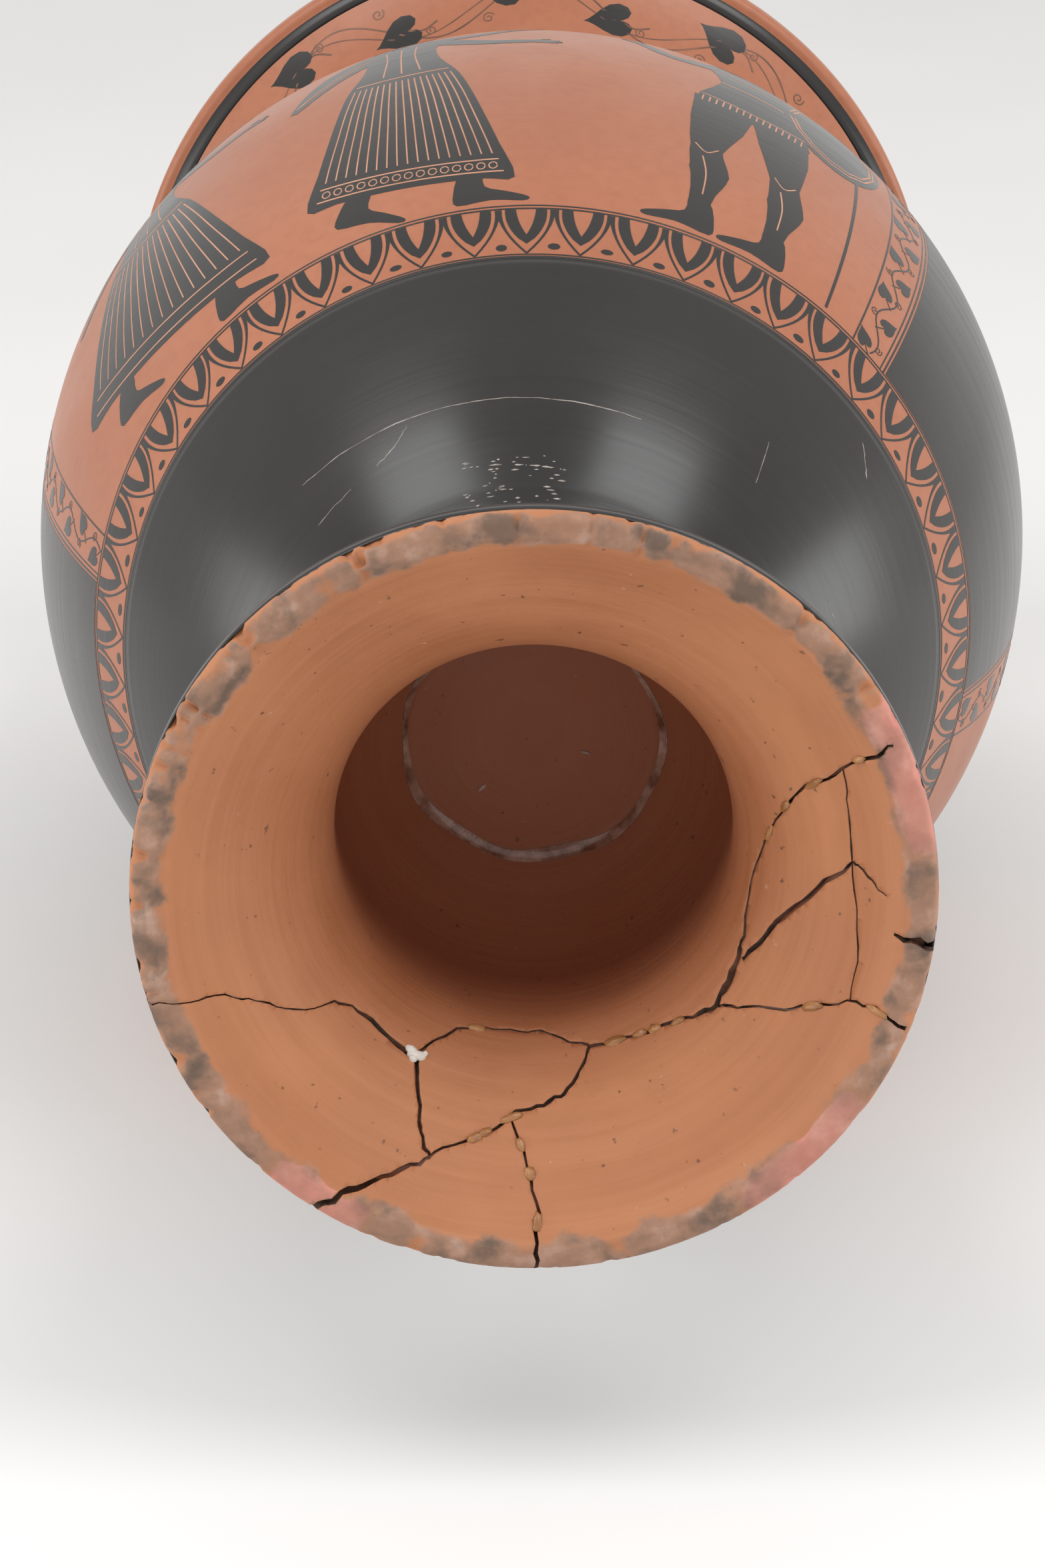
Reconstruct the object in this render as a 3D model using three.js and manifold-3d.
// Greek krater with a trumpet foot and two scroll handles: one fired clay vessel.
// Millimetres, +Z up, origin at the centre of the foot's resting ring.
// The painted front is turned to -Y, and the handles stand on +X and -X.
import * as THREE from "three";
import { mergeVertices } from "three/addons/utils/BufferGeometryUtils.js";
import Module from "manifold-3d";

// ---- driving dimensions ----
const LIP_TOP = 612; // height of the mouth
const SEGMENTS = 56; // facets round the vessel
const WALL = 7; // thrown wall of the bowl, shoulder and neck

// Where a station has "before" or "after", the curve runs towards that offset (r, z) from it.
// foot: a thin-edged trumpet, hollow from below up to a small disc under the bowl
const FOOT = { radius: 102, ringOut: 99.5, ringIn: 95.5, edge: 9, shoulder: 4 };
const FOOT_LEAD = { insideRing: [-24, 17], overShoulder: [-20, 3] };
const STEM = { radius: 61.5, z: 78, before: [0, -30], after: [-2, 16] };
const STEM_TOP = { radius: 61.5, z: 118, before: [-2, -8], after: [0, 10] };
const THROAT = { radius: 52.5, z: 56, after: [0, -22] };
const CHAMBER = { radius: 54.5, z: 88, before: [0, 22] };
const DISC = { radius: 34.6, z: 128.5, after: [7, -7] };

// outer stations of the bowl, shoulder and neck
const BOWL = { radius: 65, z: 136.5, before: [-3.5, -0.5], after: [10, 2] };
const BELLY = { radius: 158.3, z: 343, before: [0, -123], after: [0, 110] };
const NECK = { radius: 95, z: 492, before: [0, -38], after: [0, 62] };
const FLARE = { radius: 143.5, z: 602, before: [-20, -13] };
const LIP = { radius: 151.5, thickness: 10, round: 3, inner: 139, overhang: 1.5 };
// inside bottom of the bowl, nearly flat out to this share of the wall's radius
const FLOOR = { z: 144, rise: 0.6, share: 0.55, corner: 3 };

// handles: a flanged strap rises from the shoulder past the lip and rolls into a scroll on it
const STRAP = { width: 28, thickness: 8, steps: 12 };
const STRAP_ROOT = { radius: 139, z: 418, after: [13, 30] };
const STRAP_TOP = { before: [4, -91.5] };
const FLANGE = { width: 5, thickness: 12 };
const SCROLL = { drum: 21, rim: 24.5, r: 124.5, z: 636.5, rimWidth: 6, sides: 28 };

const V2 = (r, z) => new THREE.Vector2(r, z);
const at = (station) => V2(station.radius, station.z);

const clay = new THREE.MeshStandardMaterial({ color: 0x2a2523, roughness: 0.3, metalness: 0 });

// ---- profile ----
// A curved stretch between two points, each with its lead offset, without the first point.
function stretch(from, leave, arrive, to, count) {
  const first = from.clone().add(V2(...leave));
  const last = to.clone().add(V2(...arrive));
  return new THREE.CubicBezierCurve(from, first, last, to).getPoints(count).slice(1);
}

// Foot hollow, from the disc on the axis down to the resting ring.
function hollowProfile() {
  const ring = V2(FOOT.ringIn, 0);
  return [
    V2(0, DISC.z),
    at(DISC),
    ...stretch(at(DISC), DISC.after, CHAMBER.before, at(CHAMBER), 4),
    at(THROAT),
    ...stretch(at(THROAT), THROAT.after, FOOT_LEAD.insideRing, ring, 6),
  ];
}

// Outside of the foot and stem, from the resting ring up to the bowl.
function stemProfile() {
  const round = FOOT.radius - FOOT.ringOut;
  const ring = V2(FOOT.ringOut, 0);
  const side = V2(FOOT.radius, round);
  const turn = V2(FOOT.radius - FOOT.shoulder, FOOT.edge + FOOT.shoulder);
  return [
    ring,
    ...stretch(ring, [round, 0], [0, 0], side, 2),
    V2(FOOT.radius, FOOT.edge),
    turn,
    ...stretch(turn, FOOT_LEAD.overShoulder, STEM.before, at(STEM), 6),
    ...stretch(at(STEM), STEM.after, STEM_TOP.before, at(STEM_TOP), 2),
    ...stretch(at(STEM_TOP), STEM_TOP.after, BOWL.before, at(BOWL), 2),
  ];
}

// The vessel's curve from the bowl's spring to the lip's underside, in these many steps a stretch.
function bodyProfile(toBelly, toNeck, toFlare) {
  return [
    at(BOWL),
    ...stretch(at(BOWL), BOWL.after, BELLY.before, at(BELLY), toBelly),
    ...stretch(at(BELLY), BELLY.after, NECK.before, at(NECK), toNeck),
    ...stretch(at(NECK), NECK.after, FLARE.before, at(FLARE), toFlare),
  ];
}

// Edge and top of the lip, from its flat underside to the flat ring inside.
function lipProfile() {
  const low = LIP_TOP - LIP.thickness;
  return [
    V2(LIP.radius - LIP.round, low),
    V2(LIP.radius, low + LIP.round),
    V2(LIP.radius, LIP_TOP - LIP.round),
    V2(LIP.radius - LIP.round, LIP_TOP),
    V2(LIP.inner, LIP_TOP),
  ];
}

// The inner wall follows the outer one at the wall's thickness, and closes on a rounded floor.
function insideProfile() {
  const outer = bodyProfile(6, 6, 5);
  const inner = [];
  for (let i = 1; i < outer.length - 1; i++) {
    const along = outer[i + 1].clone().sub(outer[i - 1]).normalize();
    const point = V2(outer[i].x - along.y * WALL, outer[i].y + along.x * WALL);
    const underLip = point.y < NECK.z || point.x < LIP.inner - LIP.overhang;
    if (point.y > FLOOR.z + FLOOR.corner && underLip) inner.push(point);
  }
  const floorEdge = V2(inner[0].x * FLOOR.share, FLOOR.z + FLOOR.rise);
  return [...inner.reverse(), floorEdge, V2(0, FLOOR.z)];
}

function vesselGeometry() {
  const profile = [
    ...hollowProfile(),
    ...stemProfile(),
    ...bodyProfile(8, 9, 6).slice(1),
    ...lipProfile(),
    ...insideProfile(),
  ];
  return new THREE.LatheGeometry(profile, SEGMENTS).rotateX(Math.PI / 2);
}

// ---- handles ----
// Middle line of the strap in the (r, z) plane, from inside the shoulder up to the scroll's side.
function strapLine() {
  const root = at(STRAP_ROOT);
  const top = V2(SCROLL.r + SCROLL.drum - STRAP.thickness / 2, SCROLL.z);
  const leave = root.clone().add(V2(...STRAP_ROOT.after));
  const arrive = top.clone().add(V2(...STRAP_TOP.before));
  return new THREE.CubicBezierCurve(root, leave, arrive, top);
}

// A band of this thickness along the strap's middle line, this wide across, centred on y = across.
function bandGeometry(thickness, width, across) {
  const line = strapLine();
  const outer = [];
  const inner = [];
  for (let i = 0; i <= STRAP.steps; i++) {
    const point = line.getPoint(i / STRAP.steps);
    const along = line.getTangent(i / STRAP.steps);
    const aside = V2(along.y, -along.x).multiplyScalar(thickness / 2);
    outer.push(point.clone().add(aside));
    inner.push(point.clone().sub(aside));
  }
  const shape = new THREE.Shape([...outer, ...inner.reverse()]);
  const geometry = new THREE.ExtrudeGeometry(shape, { depth: width, bevelEnabled: false });
  return geometry.rotateX(Math.PI / 2).translate(0, across + width / 2, 0);
}

// A round of the scroll, this wide along y and centred on y = across.
function rollGeometry(radius, width, across) {
  const roll = new THREE.CylinderGeometry(radius, radius, width, SCROLL.sides);
  return roll.translate(SCROLL.r, across, SCROLL.z);
}

function handleSolids() {
  const edge = (STRAP.width - FLANGE.width) / 2;
  const rim = (STRAP.width - SCROLL.rimWidth) / 2;
  return [
    bandGeometry(STRAP.thickness, STRAP.width, 0),
    bandGeometry(FLANGE.thickness, FLANGE.width, edge),
    bandGeometry(FLANGE.thickness, FLANGE.width, -edge),
    rollGeometry(SCROLL.drum, STRAP.width - SCROLL.rimWidth, 0),
    rollGeometry(SCROLL.rim, SCROLL.rimWidth, rim),
    rollGeometry(SCROLL.rim, SCROLL.rimWidth, -rim),
  ];
}

// ---- joining ----
const wasm = await Module();
wasm.setup();

function toSolid(geometry) {
  const bare = geometry.clone();
  bare.deleteAttribute("normal");
  bare.deleteAttribute("uv");
  const merged = mergeVertices(bare, 1e-3);
  const triVerts = [];
  for (let i = 0; i < merged.index.count; i += 3) {
    const [a, b, c] = [0, 1, 2].map((k) => merged.index.getX(i + k));
    if (a !== b && b !== c && c !== a) triVerts.push(a, b, c);
  }
  return new wasm.Manifold(
    new wasm.Mesh({
      numProp: 3,
      vertProperties: merged.attributes.position.array,
      triVerts: new Uint32Array(triVerts),
    }),
  );
}

function toMesh(name, solid, material) {
  const { vertProperties, triVerts } = solid.getMesh();
  const geometry = new THREE.BufferGeometry();
  geometry.setAttribute("position", new THREE.BufferAttribute(vertProperties, 3));
  geometry.setIndex(new THREE.BufferAttribute(triVerts, 1));
  geometry.computeVertexNormals();
  const mesh = new THREE.Mesh(geometry, material);
  mesh.name = name;
  return mesh;
}

let krater = toSolid(vesselGeometry());
for (const turn of [0, Math.PI]) {
  for (const piece of handleSolids()) krater = krater.add(toSolid(piece.rotateZ(turn)));
}

const group = new THREE.Group();
group.add(toMesh("krater", krater, clay));
export default group;
